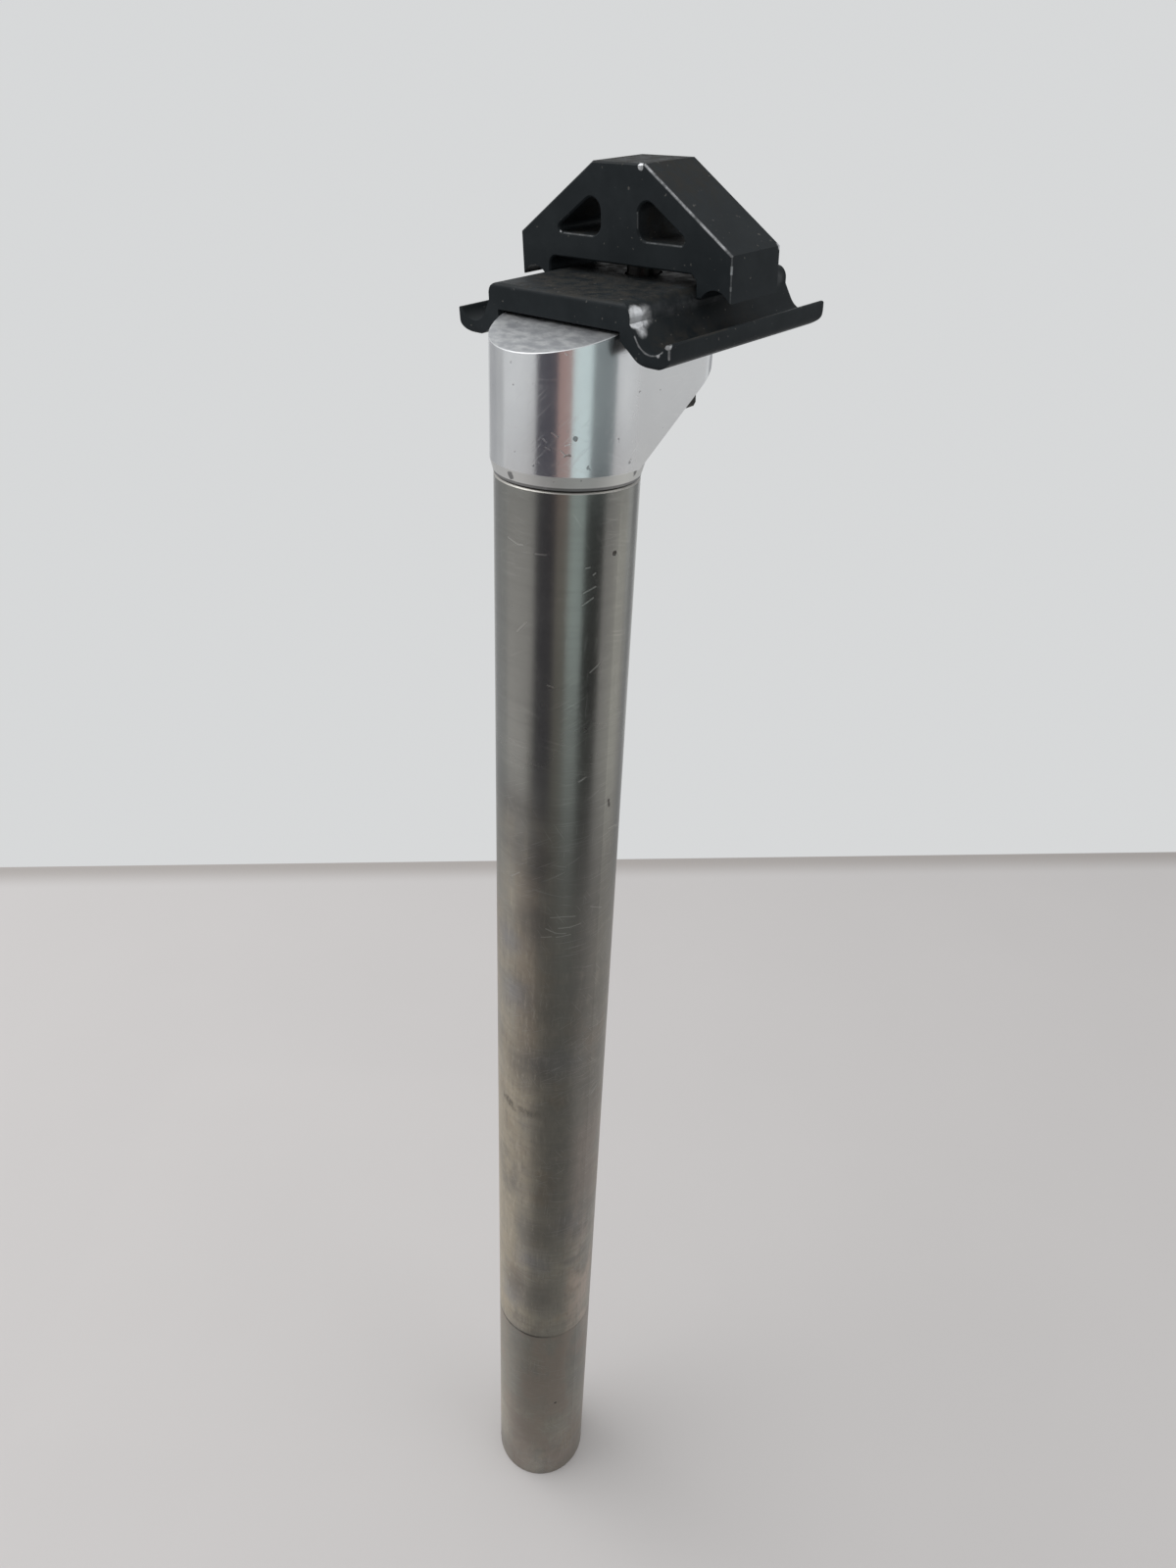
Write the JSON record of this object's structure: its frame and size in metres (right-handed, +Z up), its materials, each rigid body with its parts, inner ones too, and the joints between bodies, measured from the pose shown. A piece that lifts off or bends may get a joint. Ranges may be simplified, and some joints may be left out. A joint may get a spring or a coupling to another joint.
{
  "type": "bicycle seatpost",
  "caption": "Straight metal seatpost with a bonded setback head and a black single-bolt clamp that grips two saddle rails and tilts on the head.",
  "frame": {"origin": "centre of the tube's open lower end", "axes": "+Z up along the tube, +Y to the rear in the direction of the head's setback, +X to the right"},
  "size_m": [0.0508, 0.053, 0.3775],
  "materials": {
    "tube_metal": "satin titanium-grey tube with fine rings, scratches and brown stains",
    "head_metal": "polished aluminium with fine scratches and a matte front facet",
    "clamp_black": "black anodised aluminium, satin, with bare metal at worn edges",
    "bolt_steel": "black oxide steel",
    "washer_black": "black anodised aluminium"
  },
  "bodies": {
    "post": {"post_tube": "tube_metal", "post_head": "head_metal"},
    "cradle": {"lower_cradle": "clamp_black", "half_round_washer": "washer_black"},
    "bolt": {"clamp_bolt": "bolt_steel"},
    "jaw": {"upper_clamp": "clamp_black"}
  },
  "joints": [
    {"name": "clamp_tilt", "type": "hinge", "parent": "post", "child": "cradle", "pos_m": [0, 0.0198, 0.3415], "axis": [1, 0, 0], "range_deg": [-10, 1]},
    {"name": "bolt_turn", "type": "hinge", "parent": "cradle", "child": "bolt", "pos_m": [0, 0.0198, 0.3415], "axis": [0, 0.0924, -0.9957], "range_deg": [-360, 2880]},
    {"name": "jaw_lift", "type": "slide", "parent": "cradle", "child": "jaw", "axis": [0, -0.0924, 0.9957], "range_m": [-0.001, 0.008]}
  ],
  "couplings": [
    {"joint": "bolt_turn", "follows": "jaw_lift", "rad_per_m": 6282.6}
  ]
}
